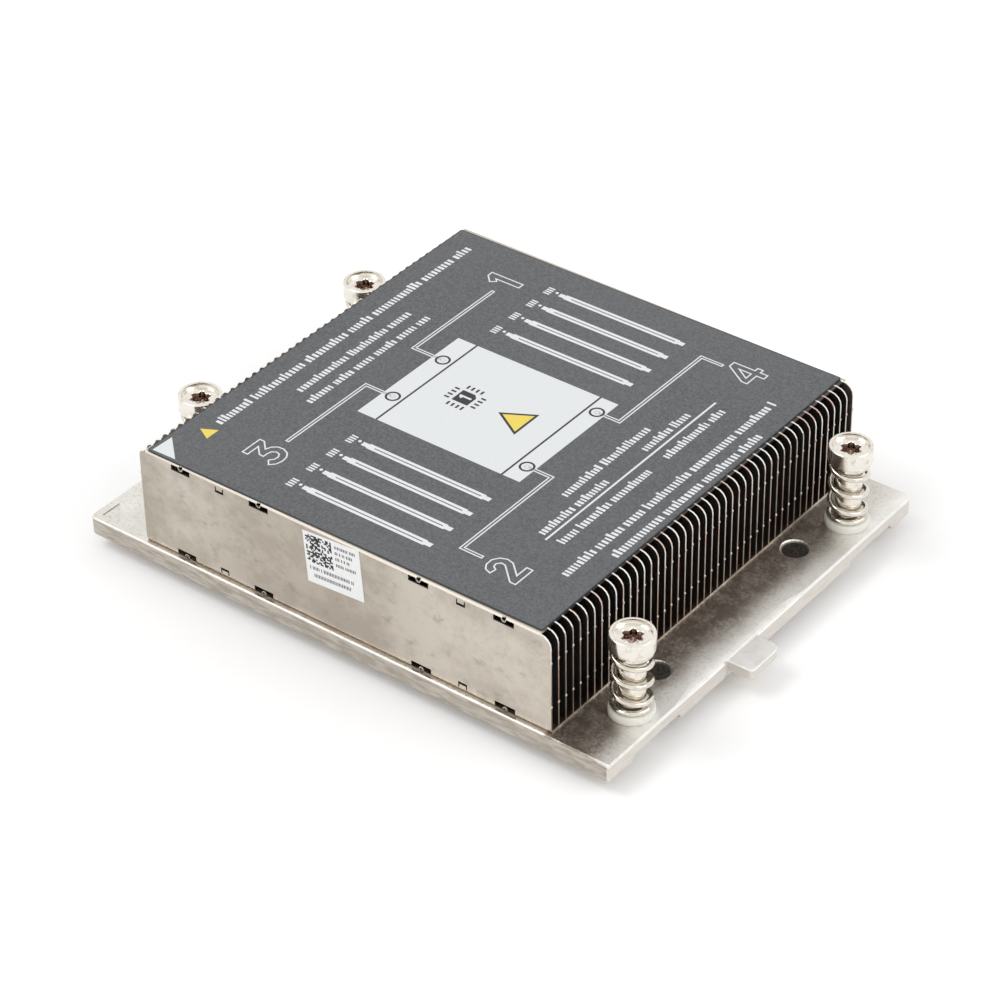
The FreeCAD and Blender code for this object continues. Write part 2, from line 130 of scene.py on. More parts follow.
class Finish(Tree):
    """A material; its patterns are laid out in millimetres on the object's own axes."""

    def __init__(self, name):
        self.material = bpy.data.materials.new(name)
        self.material.use_nodes = True
        super().__init__(self.material.node_tree)
        self.tree.nodes.clear()
        place = self.add("ShaderNodeTexCoord", {}, {}).output("Object")
        self.place = self.add("ShaderNodeVectorMath", {"operation": "SCALE"}, {0: place, "Scale": 1 / MM})
        apart = self.add("ShaderNodeSeparateXYZ", {}, {0: self.place})
        self.x, self.y, self.z = apart.output("X"), apart.output("Y"), apart.output("Z")

    def noise(self, per_mm, detail=2.0, roughness=0.5, stretch=(1, 1, 1), shift=0.0):
        where = self.add("ShaderNodeMapping", {}, {0: self.place, "Scale": stretch, "Location": (shift, shift, shift)})
        return self.add("ShaderNodeTexNoise", {},
                        {"Vector": where, "Scale": per_mm, "Detail": detail, "Roughness": roughness})

    def blend(self, share, first, second):
        """The first colour where share is 0, the second where it is 1."""
        colours = [c if isinstance(c, Wire) else (*c, 1) for c in (first, second)]
        return self.add("ShaderNodeMix", {"data_type": "RGBA"}, {0: share, 6: colours[0], 7: colours[1]}, 2)

    def reach(self, across, along):
        """Distance from a point, given as two parts."""
        return (across * across + along * along).root()

    def attribute(self, name):
        return self.add("ShaderNodeAttribute", {"attribute_name": name}, {}, "Fac")

    def relief(self, height, strength, distance_mm):
        return self.add("ShaderNodeBump", {}, {"Height": height, "Strength": strength, "Distance": distance_mm * MM})

    def surface(self, colour, roughness, metallic=0.0, relief=None, **constants):
        """The finished material. A constant is a socket's name, with _ for each space."""
        values = {"Base Color": colour if isinstance(colour, Wire) else (*colour, 1),
                  "Roughness": roughness, "Metallic": metallic}
        if relief:
            values["Normal"] = relief
        values.update({name.replace("_", " "): value for name, value in constants.items()})
        shader = self.add("ShaderNodeBsdfPrincipled", {}, values)
        self.add("ShaderNodeOutputMaterial", {}, {"Surface": shader})
        return self.material


def give(node, material):
    """A CAD node keeps its shape and gets this finish."""
    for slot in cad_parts[node].material_slots:
        slot.material = material


BASE_TOP = 3.6
STRIP_START = 44.0
ROLLED_START, ROLL_DEPTH = 55.5, 0.28
TAB_START = 57.5
DIMPLES = ((49.7, 20.8), (49.7, -21.6))
DIMPLE_RADIUS = 2.8
PLATING_DULL, PLATING, PLATING_SPECK = (0.76, 0.735, 0.68), (0.86, 0.84, 0.795), (0.50, 0.455, 0.40)
# Brown strip colours: partly a real stain, partly a painted reflection of the dark fins.
STAIN_AND_FIN_REFLECTION, STAIN_AND_FIN_REFLECTION_DARK, STAIN_AND_FIN_REFLECTION_SPECK = (0.56, 0.50, 0.44), (0.29, 0.24, 0.20), (0.25, 0.205, 0.165)
# Painted highlight along the strip's rolled rim.
RIM_PAINTED_HIGHLIGHT = (0.95, 0.935, 0.91)
SHEARED_DARK, SHEARED, TAB_SIDE = (0.40, 0.355, 0.305), (0.56, 0.515, 0.455), (0.86, 0.83, 0.79)
# Dimple colours: a painted highlight on the edge and painted shade on the floor.
DIMPLE_EDGE_HIGHLIGHT, DIMPLE_SHADE_DARK, DIMPLE_FLOOR_SHADE = (0.88, 0.86, 0.82), (0.05, 0.045, 0.04), (0.15, 0.13, 0.11)


def strip_tones(f, colour, beside, patches, speck):
    """The strip by the tab is darkened brown next to the fins, partly by a stain and partly by a painted reflection of
    the dark fins, and has a painted highlight along its rim.
    """
    reached = f.x + patches * 5 + f.y.between(-46.0, -34.0) * 3
    # Painted reflection of the dark fins mixed with a brown stain, strongest next to the fins and weaker at the +Y
    # end.
    stain_and_fin_reflection = (1 - reached.between(55.5, 61.0)) * beside * (1 - f.y.between(26.0, 42.0) * 0.7)
    clouds = f.noise(0.35, 5.0, 0.7, shift=15.0)
    brown = f.blend(clouds.between(0.38, 0.62), STAIN_AND_FIN_REFLECTION, STAIN_AND_FIN_REFLECTION_DARK)
    brown = f.blend(speck.between(0.44, 0.58) * 0.65, brown, STAIN_AND_FIN_REFLECTION_SPECK)
    # Painted highlight: a pale band along the rim, broken up by clouds and weaker at the near corner.
    rim_highlight = 0.85 - clouds.between(0.42, 0.60) * 0.32 - (1 - f.y.between(-46.0, -36.0)) * 0.48
    return f.blend(f.x.between(53.5, 57.5) * rim_highlight, f.blend(stain_and_fin_reflection, colour, brown), RIM_PAINTED_HIGHLIGHT)


def dimple_painted_light(f, colour, grain):
    """Each dimple has a painted highlight on its edge and a floor painted dark as shade."""
    low = 1 - f.z.between(BASE_TOP - 0.36, BASE_TOP - 0.3)
    under_top = 1 - f.z.between(BASE_TOP - 0.06, BASE_TOP - 0.01)
    # Painted shade for the dimple floors.
    dark = f.blend(grain.between(0.4, 0.7), DIMPLE_SHADE_DARK, DIMPLE_FLOOR_SHADE)
    for x, y in DIMPLES:
        reach = f.reach(f.x - x, f.y - y)
        floor = 1 - reach.between(DIMPLE_RADIUS - 0.5, DIMPLE_RADIUS - 0.3)
        # Painted highlight on the bevel round each dimple.
        ring = reach.between(DIMPLE_RADIUS - 0.28, DIMPLE_RADIUS - 0.18) * under_top
        ring = ring * (1 - reach.between(DIMPLE_RADIUS, DIMPLE_RADIUS + 0.05))
        colour = f.blend(floor * low, f.blend(ring, colour, DIMPLE_EDGE_HIGHLIGHT), dark)
    return colour


def blasted_nickel():
    """Pale grainy top; a strip darkened by a brown stain and a painted reflection of the fins, with a painted
    highlight along its rim; two dimples with painted shade and painted highlights; duller sheared sides.
    """
    f = Finish("blasted_nickel")
    grain = f.noise(2.2, 3.0, 0.7)
    patches = f.noise(0.09, 3.0, 0.6)
    speck = f.noise(1.5, 4.0, 0.75, shift=7.0)
    beside = f.x.between(STRIP_START, STRIP_START + 1)
    top = f.blend(patches.between(0.35, 0.65), PLATING_DULL, PLATING)
    top = f.blend(speck.between(0.50, 0.64) * 0.45, top, PLATING_SPECK)
    top = strip_tones(f, top, beside, patches, speck)
    shear = f.noise(0.8, 3.0, 0.6, (0.35, 0.35, 2.2), 13.0)
    side = f.blend(shear.between(0.35, 0.65), SHEARED_DARK, SHEARED)
    side = f.blend((f.x > TAB_START) * 0.7, side, TAB_SIDE)
    level = f.z + (f.x > ROLLED_START) * ROLL_DEPTH
    rim = level.between(BASE_TOP - 0.36, BASE_TOP - 0.12)
    colour = dimple_painted_light(f, f.blend(rim, side, top), grain)
    roughness = 0.37 - rim * 0.13 + grain * 0.12 + patches * 0.06 + beside * 0.05
    roughness = roughness + f.x.between(52.0, 55.0) * 0.14
    metal = 0.93 - speck.between(0.50, 0.38) * beside * rim * 0.2
    return f.surface(colour, roughness, metal, f.relief(grain * 0.5 + speck, 0.9, 0.07))


give("base_plate", blasted_nickel())

# Folded fins
# Copper sheet 0.3 mm thick with a fold along its top and bottom, nickel plated after folding.
# The folds set the gap to the next fin; the two outer fins close the stack.
FIN_PITCH = 2.01
FIN_START, FIN_END = -44.8, 45.4
UPSTREAM_RADIUS, DOWNSTREAM_RADIUS = 1.2, 2.2
STACK_START = -45.675
FIN_TOP = 23.6
SHEET = 0.3
# Solder brown, also used as painted shade at the fins' foot.
SOLDER_AND_SHADE_BROWN = (0.30, 0.225, 0.165)
EDGE_LOW, EDGE_HIGH, EDGE_FOOT = (0.62, 0.56, 0.50), (0.92, 0.89, 0.84), (0.90, 0.85, 0.77)
BARE_COPPER = (0.62, 0.40, 0.33)


def cut_edge(f):
    """1 on the cut ends of the sheet and on its rounded corners, 0 on its faces."""
    edge = (f.x - (FIN_END - 0.05)).larger(FIN_START + 0.05 - f.x) > 0
    for centre_x, radius, outward in ((FIN_START + UPSTREAM_RADIUS, UPSTREAM_RADIUS, -1),
                                      (FIN_END - DOWNSTREAM_RADIUS, DOWNSTREAM_RADIUS, 1)):
        across = ((f.x - centre_x) * outward).larger(0)
        up = (f.z - (FIN_TOP - radius)).larger(0)
        edge = edge.larger(f.reach(across, up) > radius - 0.09)
    return edge


def fin_nickel(name, light, dark, smudge, copper, fold):
    """Sheet with random smudges, darker towards the middle and the upstream end, and with solder and painted shade at
    its foot; fold is the tone of its folded top.

    Its cut edges are bright; copper says how much of them is worn through the nickel."""
    f = Finish(name)
    clouds = f.noise(0.07, 5.0, 0.7, (1.0, 1.0, 1.3), 3.0)
    smears = f.noise(0.32, 5.0, 0.72, (0.8, 1.0, 1.1), 11.0)
    grain = f.noise(3.0, 2.0, 0.6)
    # Darker towards the middle of the sheet and at its upstream end.
    darker_middle_and_upstream = (1 - abs(f.x + 9).between(4.0, 36.0)).larger(1 - f.x.between(-46.0, -36.0))
    colour = f.blend((clouds.between(0.4, 0.64) * 0.6 + darker_middle_and_upstream * 0.7).smaller(1), light, dark)
    colour = f.blend(smears.between(0.52, 0.74) * smudge, colour, tuple(c * 0.7 for c in dark))
    # Painted shade where the fin meets the base, in the brown of the solder there.
    solder_and_shade_wobble = f.noise(0.35, 3.0, 0.6, (1.0, 1.0, 0.6), 17.0) * 0.7
    foot = 1 - (f.z - solder_and_shade_wobble).between(BASE_TOP + 0.1, BASE_TOP + 0.5)
    colour = f.blend(foot * 0.7, colour, SOLDER_AND_SHADE_BROWN)
    # The folded top takes the fold colour, which on the inner fins is painted shade.
    colour = f.blend(f.z > FIN_TOP - SHEET - 0.02, colour, fold)
    worn = f.noise(0.5, 2.0, 0.6, (0.2, 1.0, 0.5), 5.0).between(0.47, 0.6)
    edge = f.blend(f.z.between(15.0, 22.5), EDGE_LOW, EDGE_HIGH)
    edge = f.blend(worn * copper, edge, BARE_COPPER)
    edge = f.blend(f.z.between(BASE_TOP + 0.42, BASE_TOP + 0.32), edge, EDGE_FOOT)
    # At the ends, the fold flanges keep the fold colour instead of the edge colour; on the inner fins that is painted
    # shade.
    place = (f.y - STACK_START) / FIN_PITCH
    flange = (place - place.floor()) * FIN_PITCH > SHEET + 0.06
    bare = cut_edge(f) * (1 - flange * (f.z > BASE_TOP + 0.5))
    colour = f.blend(bare, colour, edge)
    roughness = 0.27 + clouds * 0.1 + grain * 0.06
    return f.surface(colour, roughness, 0.94, f.relief(grain, 0.25, 0.015))


outer_finish = fin_nickel("outer_fin_nickel", light=(0.62, 0.57, 0.495), dark=(0.42, 0.37, 0.315),
                          smudge=0.6, copper=0.2, fold=(0.60, 0.545, 0.475))
# The inner fins are the same plating as the outer ones, painted near black as shade in the gaps, with their folded
# tops darker still.
inner_fin_painted_shade = fin_nickel("inner_fin_nickel", light=(0.16, 0.145, 0.13), dark=(0.11, 0.10, 0.09),
                          smudge=0.3, copper=0.8, fold=(0.09, 0.08, 0.075))
fin_nodes = sorted(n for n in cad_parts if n.startswith("fin_"))
LAST_FIN = len(fin_nodes) + 1
for node in fin_nodes:
    give(node, inner_fin_painted_shade)
for node in ("outer_fin_1", "outer_fin_2"):
    give(node, outer_finish)

# Nubs on the ends of the fins
# Each fin is cut from a strip, and the bridges that held it leave two small bumps on each end.
# They are part of the fin's sheet, at a third and three quarters of its height.
NUB_HEIGHTS = (9.1, 18.4)
NUB_RADIUS = 0.3
NUBS_A_FIN = 4


class Growth(Tree):
    """A Geometry Nodes tree with named sizes, used once and turned into a plain mesh."""

    def __init__(self, name):
        group = bpy.data.node_groups.new(name, "GeometryNodeTree")
        super().__init__(group)
        self.sizes = {}
        group.interface.new_socket("Geometry", in_out="OUTPUT", socket_type="NodeSocketGeometry")
        self.inlet = group.nodes.new("NodeGroupInput")

    def size(self, name, value):
        kind = "NodeSocketInt" if isinstance(value, int) else "NodeSocketFloat"
        socket = self.tree.interface.new_socket(name, in_out="INPUT", socket_type=kind)
        self.sizes[socket.identifier] = value
        return Wire(self, self.inlet.outputs[name])

    def vector(self, x, y, z):
        return self.add("ShaderNodeCombineXYZ", {}, {"X": x, "Y": y, "Z": z})

    def piece(self, name, geometry, material):
        real = self.add("GeometryNodeRealizeInstances", {}, {"Geometry": geometry})
        dressed = self.add("GeometryNodeSetMaterial", {}, {"Geometry": real, "Material": material})
        self.add("NodeGroupOutput", {}, {"Geometry": dressed})
        carrier = bpy.data.objects.new(name, bpy.data.meshes.new(name))
        bpy.context.scene.collection.objects.link(carrier)
        modifier = carrier.modifiers.new(name, "NODES")
        modifier.node_group = self.tree
        for identifier, value in self.sizes.items():
            modifier[identifier] = value
        graph = bpy.context.evaluated_depsgraph_get()
        mesh = bpy.data.meshes.new_from_object(carrier.evaluated_get(graph))
        carrier.modifiers.remove(modifier)
        carrier.data = mesh
        mesh.name = name
        return carrier


def bright_nub():
    """Plating that goes over to copper, as on the edges round it."""
    f = Finish("bright_nub")
    tint = f.noise(0.5, 2.0, 0.6, shift=5.0)
    colour = f.blend(tint.between(0.4, 0.65), (0.66, 0.61, 0.55), (0.58, 0.45, 0.38))
    return f.surface(colour, 0.25 + tint * 0.1, 0.9)


def fin_nubs():
    """Two nubs on both ends of each fin: corner counts them, 0 and 1 upstream, 2 and 3 downstream."""
    g = Growth("fin_nubs")
    count = g.size("Fins", LAST_FIN + 1)
    pitch = g.size("Pitch", FIN_PITCH * MM)
    low = g.size("Lower row", NUB_HEIGHTS[0] * MM)
    high = g.size("Upper row", NUB_HEIGHTS[1] * MM)
    radius = g.size("Radius", NUB_RADIUS * MM)
    index = g.add("GeometryNodeInputIndex", {}, {})
    fin = (index / NUBS_A_FIN).floor()
    corner = index - fin * NUBS_A_FIN
    upper = corner.maths("MODULO", corner, 2)
    far = corner > 1.5
    x = FIN_START * MM + far * ((FIN_END - FIN_START) * MM)
    y = (STACK_START + SHEET / 2) * MM + fin * pitch
    z = low + upper * (high - low)
    points = g.add("GeometryNodePoints", {}, {"Count": count * NUBS_A_FIN, "Position": g.vector(x, y, z)})
    ball = g.add("GeometryNodeMeshIcoSphere", {}, {"Radius": radius, "Subdivisions": 2})
    nubs = g.add("GeometryNodeInstanceOnPoints", {}, {"Points": points, "Instance": ball, "Scale": (0.7, 0.9, 1.1)})
    return g.piece("fin_nubs", nubs, bright_nub())


def seat(piece, body, slot, *nodes):
    """Fixes a finished piece to its body and hides the CAD nodes it stands for."""
    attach(piece, body)
    if nodes:
        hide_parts(*nodes)
    return piece


seat(fin_nubs(), "sink", "fin_nickel")

# Interlock tongues
# The outer fins have small curled tongues in their long openings, which clip one fin to the next.
# Each is a strip of the fin's own sheet, rolled over in the middle of the opening.
SLOT_CENTRES = (-35.15, -17.25, 17.85, 35.75)
TONGUE_RADIUS = 0.55
TONGUE_THICKNESS = 0.16
TONGUE_STRETCH = 1.25
TONGUE_STEPS = 8


def solid_mesh(name, vertices, faces, material, smooth_angle=None):
    """A piece from corners in millimetres."""
    mesh = bpy.data.meshes.new(name)
    mesh.from_pydata([tuple(c * MM for c in v) for v in vertices], [], faces)
    shape = bmesh.new()
    shape.from_mesh(mesh)
    bmesh.ops.recalc_face_normals(shape, faces=shape.faces)
    shape.to_mesh(mesh)
    shape.free()
    if smooth_angle:
        mesh.shade_smooth()
        mesh.set_sharp_from_angle(angle=math.radians(smooth_angle))
    mesh.materials.append(material)
    piece = bpy.data.objects.new(name, mesh)
    bpy.context.scene.collection.objects.link(piece)
    return piece


def tongues():
    vertices, faces = [], []
    for y in (STACK_START, STACK_START + LAST_FIN * FIN_PITCH):
        for z, up in ((FIN_TOP - SHEET, -1), (BASE_TOP + SHEET, 1)):
            for x in SLOT_CENTRES:
                start = len(vertices)
                for step in range(TONGUE_STEPS + 1):
                    turn = math.pi * step / TONGUE_STEPS
                    for radius in (TONGUE_RADIUS, TONGUE_RADIUS - TONGUE_THICKNESS):
                        for depth in (0.02, SHEET - 0.02):
                            vertices.append((x + radius * math.cos(turn), y + depth,
                                             z + up * radius * TONGUE_STRETCH * math.sin(turn)))
                for step in range(TONGUE_STEPS):
                    a = start + 4 * step
                    b = a + 4
                    faces += [(a, a + 1, b + 1, b), (a + 2, b + 2, b + 3, a + 3),
                              (a, b, b + 2, a + 2), (a + 1, a + 3, b + 3, b + 1)]
                last = start + 4 * TONGUE_STEPS
                faces += [(start, start + 2, start + 3, start + 1), (last, last + 1, last + 3, last + 2)]
    return solid_mesh("interlock_tongues", vertices, faces, outer_finish, 40)


seat(tongues(), "sink", "fin_nickel")

# Printed sheet on the fins
# A film 0.2 mm thick with a slate grey print and white lines, stuck on the folded tops of the fins.
# It carries a plan of the board round the processor, four numbers, and rows of plain ticks.
LABEL_MIDDLE = (-0.35, 0.05)
LABEL_HALF = (43.1, 45.125)
LABEL_TURN = math.radians(0.4)
LABEL_TOP = 23.8
INK = 0.012


def label_film(name):
    """Slate grey with a fine mottled grain, stray dust and a thin dark line round its edge."""
    f = Finish(name)
    mottle = f.noise(2.2, 3.0, 0.75)
    clouds = f.noise(0.03, 2.0, 0.5, shift=2.0)
    dust = f.noise(4.5, 1.0, 0.5, shift=9.0).between(0.70, 0.76)
    colour = f.blend(clouds.between(0.3, 0.7), (0.068, 0.071, 0.077), (0.082, 0.085, 0.092))
    colour = f.blend(mottle.between(0.36, 0.64), colour, (0.137, 0.140, 0.147))
    colour = f.blend(dust * 0.35, colour, (0.32, 0.32, 0.32))
    cos, sin = math.cos(LABEL_TURN), math.sin(LABEL_TURN)
    across, along = f.x - LABEL_MIDDLE[0], f.y - LABEL_MIDDLE[1]
    beyond_x = abs(across * cos + along * sin) - LABEL_HALF[0]
    beyond_y = abs(along * cos - across * sin) - LABEL_HALF[1]
    colour = f.blend(beyond_x.larger(beyond_y).between(-0.24, -0.18), colour, (0.03, 0.03, 0.032))
    return f.surface(colour, 0.44 + mottle * 0.14, 0.0, f.relief(mottle, 0.25, 0.012), Specular_IOR_Level=0.5)


film = label_film("label_film")
give("top_label", film)


def print_ink(name, colour, roughness=0.5, thin=0.9):
    """Ink with spots where it is thin; thin is how bright it is there."""
    f = Finish(name)
    wear = f.noise(2.2, 2.0, 0.6, shift=4.0)
    worn = tuple(c * thin for c in colour)
    return f.surface(f.blend(wear.between(0.45, 0.75), colour, worn), roughness + wear * 0.08)


white_ink = print_ink("white_ink", (0.83, 0.85, 0.87))
panel_ink = print_ink("panel_ink", (0.80, 0.82, 0.825), 0.5, 0.97)
pale_ink = print_ink("pale_ink", (0.55, 0.57, 0.59))
dark_ink = print_ink("dark_ink", (0.028, 0.03, 0.034), 0.6)
yellow_ink = print_ink("yellow_ink", (0.90, 0.70, 0.12), 0.5, 0.95)


def stroke(points, width, closed=False):
    """Quads along a line with mitred corners."""
    count = len(points)
    path = [Vector(p) for p in points]
    sides = []
    for i in range(count):
        before = path[i] - path[i - 1] if (i > 0 or closed) else path[i + 1] - path[i]
        after = path[(i + 1) % count] - path[i] if (i < count - 1 or closed) else before
        before, after = before.normalized(), after.normalized()
        bisector = Vector((-(before + after).y, (before + after).x)).normalized()
        reach = width / 2 / max(bisector.dot(Vector((-before.y, before.x))), 0.3)
        sides.append((path[i] + bisector * reach, path[i] - bisector * reach))
    quads = []
    for i in range(count if closed else count - 1):
        a, b = sides[i], sides[(i + 1) % count]
        quads.append([a[0], a[1], b[1], b[0]])
    return quads


def rectangle(x0, x1, y0, y1):
    return [(x0, y0), (x1, y0), (x1, y1), (x0, y1)]


def circle(x, y, radius, count=32):
    return [(x + radius * math.cos(2 * math.pi * i / count), y + radius * math.sin(2 * math.pi * i / count))
            for i in range(count)]


def word_row(x, y0, y1, height, luck):
    """A row of small upright ticks in groups, in place of a line of words."""
    ticks = []
    y = y0
    while y < y1 - height * 0.4:
        for tick in range(luck.randint(5, 16)):
            width = height * luck.uniform(0.2, 0.32)
            rise = height * luck.choice((0.7, 0.7, 0.7, 0.7, 0.96))
            if y + width > y1:
                break
            foot = x + height / 2
            ticks.append(rectangle(foot - rise, foot, y, y + width))
            y += width + height * luck.uniform(0.15, 0.22)
        y += height * 0.34
    return ticks


def printed(name, polygons, ink, level=0):
    """Flat shapes with a hair of thickness, lying on the film."""
    low, high = LABEL_TOP + level * INK, LABEL_TOP + (level + 1) * INK
    vertices, faces = [], []
    for polygon in polygons:
        start, count = len(vertices), len(polygon)
        vertices += [(p[0], p[1], low) for p in polygon] + [(p[0], p[1], high) for p in polygon]
        faces.append(tuple(range(start + count - 1, start - 1, -1)))
        faces.append(tuple(range(start + count, start + 2 * count)))
        faces += [(start + i, start + (i + 1) % count, start + count + (i + 1) % count, start + count + i)
                  for i in range(count)]
    piece = solid_mesh(name, vertices, faces, ink)
    return seat(piece, "sink", "label_film")


DIGITS = {
    "1": [[(0.9, 5.0), (2.3, 6.4), (3.4, 6.4), (3.4, 0), (2.2, 0), (2.2, 4.7), (1.6, 4.1)]],
    "2": [[(0.2, 0), (4.4, 0), (4.4, 1.1), (2.0, 1.1), (4.1, 3.4), (4.35, 4.6), (3.9, 5.7), (2.9, 6.4), (1.6, 6.4),
           (0.6, 5.8), (0.2, 4.7), (1.35, 4.5), (1.8, 5.2), (2.5, 5.3), (3.1, 4.8), (3.0, 4.0), (0.2, 1.0)]],
    "3": [[(0.3, 6.4), (4.4, 6.4), (4.4, 5.5), (2.9, 4.0), (3.9, 3.6), (4.5, 2.8), (4.6, 1.7), (4.1, 0.6), (3.2, 0.0),
           (2.0, -0.15), (0.9, 0.15), (0.1, 0.95), (1.0, 1.75), (1.7, 1.15), (2.5, 1.05), (3.2, 1.45), (3.35, 2.1),
           (3.0, 2.75), (2.2, 3.0), (1.3, 3.0), (1.3, 3.8), (2.8, 5.35), (0.3, 5.35)]],
    "4": [[(2.7, 0), (2.7, 1.4), (0, 1.4), (0, 2.4), (2.5, 6.4), (3.8, 6.4), (3.8, 2.4), (4.6, 2.4), (4.6, 1.4),
           (3.8, 1.4), (3.8, 0)], [(2.7, 2.4), (2.7, 4.7), (1.2, 2.4)]],
}
DIGIT_PLACES = {"1": (-26.0, 34.9), "2": (28.5, -35.3), "3": (-25.6, -33.6), "4": (27.8, 36.4)}
DIGIT_SCALE = 1.14


def digit_lines():
    """Outlined digits whose tops point to -X."""
    quads = []
    for digit, (x, y) in DIGIT_PLACES.items():
        for loop in DIGITS[digit]:
            turned = [(x + (3.2 - up) * DIGIT_SCALE, y + (along - 2.3) * DIGIT_SCALE) for along, up in loop]
            quads += stroke(turned, 0.27, closed=True)
    return quads


PANEL_X, PANEL_Y = (-21.0, 15.2), (-14.3, 14.8)
PANEL_LINES = ((-16.86, -16.49), (11.14, 11.51))
WHITE_CORNER = [(-42.35, -44.75), (-37.2, -44.55), (-42.15, -39.9)]
CROSS_LINE = (28.55, 28.95, -24.9, 25.6)
LEADERS = ([(-21.0, 7.4), (-25.5, 7.4), (-25.5, 31.2)],
           [(-21.0, -7.0), (-25.0, -7.0), (-25.0, -28.9)],
           [(15.2, -9.9), (18.8, -9.9), (18.8, -35.0), (23.3, -35.0)],
           [(15.2, 10.6), (18.4, 10.6), (18.4, 36.0), (23.2, 36.0)])
RINGS = ((-18.8, 7.4), (-18.8, -7.0), (13.5, -9.9), (13.5, 10.6))
CHIP_MIDDLE = (-8.1, 0.3)
CHIP_HALF = 1.75
BIG_TRIANGLE = [(-0.12, 0.22), (5.6, 3.5), (5.63, -3.19)]
SMALL_TRIANGLE = [(-39.9, -35.0), (-36.9, -33.4), (-36.9, -36.6)]
TICK_ROWS = ((-38.7, -31.8, 40.8, 2.1), (-33.7, -15.6, 15.9, 1.9), (-30.0, -17.3, 17.5, 1.9),
             (23.5, -12.9, 13.3, 1.9), (26.7, 6.2, 20.0, 1.9), (26.9, -23.9, -5.0, 1.9),
             (31.1, -24.0, 2.4, 1.9), (31.0, 6.6, 24.7, 1.9), (36.9, -30.8, 32.0, 2.0), (40.5, -21.7, 22.2, 2.0))
SLOT_GROUPS = ((-14.75, (37.4, 32.1, 26.8, 21.2)), (-13.95, (-21.45, -26.65, -32.05, -37.55)))
SLOT_LENGTH = 28.3
SLOT_HALF = 0.74
SLOT_END_HALF = 0.52
SLOT_GAP_HALF = 0.12


def slot_mark(start, y):
    """One memory slot: two lines that close at both ends, with a dot and four plain ticks before it."""
    end = start + SLOT_LENGTH
    quads = [rectangle(start, start + 1.3, y - SLOT_END_HALF, y + SLOT_END_HALF),
             rectangle(end - 1.3, end, y - SLOT_END_HALF, y + SLOT_END_HALF),
             rectangle(start + 1.3, start + 2.7, y - SLOT_HALF, y + SLOT_HALF),
             rectangle(end - 2.0, end - 1.3, y - SLOT_HALF, y + SLOT_HALF),
             rectangle(start + 2.7, end - 2.0, y - SLOT_HALF, y - SLOT_GAP_HALF),
             rectangle(start + 2.7, end - 2.0, y + SLOT_GAP_HALF, y + SLOT_HALF),
             circle(start - 0.75, y + 0.25, 0.34, 12)]
    for step in range(4):
        side = y - 1.2 + step * 0.64
        quads.append(rectangle(start - 3.1, start - 1.65, side, side + 0.36))
    return quads


def board_plan():
    """White lines: leaders, numbers and the memory slots on both sides of the panel."""
    quads = digit_lines()
    for leader in LEADERS:
        quads += stroke(leader, 0.85)
    for start, rows in SLOT_GROUPS:
        for y in rows:
            quads += slot_mark(start, y)
    return quads + [rectangle(*CROSS_LINE)]


def shortened(leader):
    """The same line, with its loose end drawn in."""
    before, end = Vector(leader[-2]), Vector(leader[-1])
    return leader[:-1] + [tuple(end + (before - end).normalized() * 0.28)]


def small_print():
    luck = random.Random(7)
    return [tick for row in TICK_ROWS for tick in word_row(*row, luck)]


printed("plan_panel", [rectangle(*PANEL_X, *PANEL_Y), WHITE_CORNER], panel_ink)
printed("plan_lines", board_plan(), white_ink)
printed("small_print", small_print(), white_ink)


def chip_mark():
    """Dark marks on the white panel: two division lines, four rings and a small chip with its pins."""
    quads = [rectangle(*across, *PANEL_Y) for across in PANEL_LINES]
    for x, y in RINGS:
        quads += stroke(circle(x, y, 1.27), 0.4, closed=True)
    x, y = CHIP_MIDDLE
    cut = CHIP_HALF - 0.8
    quads.append([(x - CHIP_HALF, y - CHIP_HALF), (x + CHIP_HALF, y - CHIP_HALF), (x + CHIP_HALF, y + cut),
                  (x + cut, y + CHIP_HALF), (x - CHIP_HALF, y + CHIP_HALF)])
    for step in (-1.56, -0.52, 0.52, 1.56):
        for near, far in ((-3.5, -2.45), (2.45, 3.5)):
            quads += [rectangle(x + near, x + far, y + step - 0.21, y + step + 0.21),
                      rectangle(x + step - 0.21, x + step + 0.21, y + near, y + far)]
    return quads


def ring_stubs():
    """Each leader runs on over the panel, into its ring and up to a small circle in the middle."""
    quads = []
    for leader, (x, y) in zip(LEADERS, RINGS):
        middle, edge = Vector((x, y)), Vector(leader[0])
        quads += stroke([edge, middle + (edge - middle).normalized() * 0.55], 0.6)
        quads += stroke(circle(x, y, 0.45, 16), 0.16, closed=True)
    return quads


def chip_number():
    """A small 1 in the middle of the chip."""
    x, y = CHIP_MIDDLE
    return [(x + 1.25 - up * 0.4, y - 0.95 + along * 0.4) for along, up in DIGITS["1"][0]]


printed("leader_lines", [quad for leader in LEADERS for quad in stroke(shortened(leader), 0.3)], film, 1)
printed("ring_stubs", ring_stubs(), pale_ink, 1)
printed("plan_marks", chip_mark(), dark_ink, 2)
printed("chip_number", [chip_number()], white_ink, 3)
printed("caution_fields", [BIG_TRIANGLE, SMALL_TRIANGLE], yellow_ink, 1)
printed("caution_outline", stroke(BIG_TRIANGLE, 0.46, closed=True), dark_ink, 2)

# Small sticker on the outer fin
# White paper with a square of dots and a few grey lines, stuck on by hand and a little crooked.
STICKER_MIDDLE = (-0.7, 17.7)
STICKER_TILT = math.radians(4.0)
STICKER_FACE = STACK_START - 0.1
CODE_CELLS = 18
CODE_CELL = 0.32
CODE_CORNER = (-5.6, -0.8, 0.005)
STICKER_ROWS = ((0.7, 5.2, 4.1, 0.6), (0.7, 4.6, 2.9, 0.6), (0.7, 3.9, 1.7, 0.6), (0.7, 5.0, 0.4, 0.6),
                (-5.4, 4.2, -2.1, 0.7), (-4.6, 3.4, -3.6, 0.7))


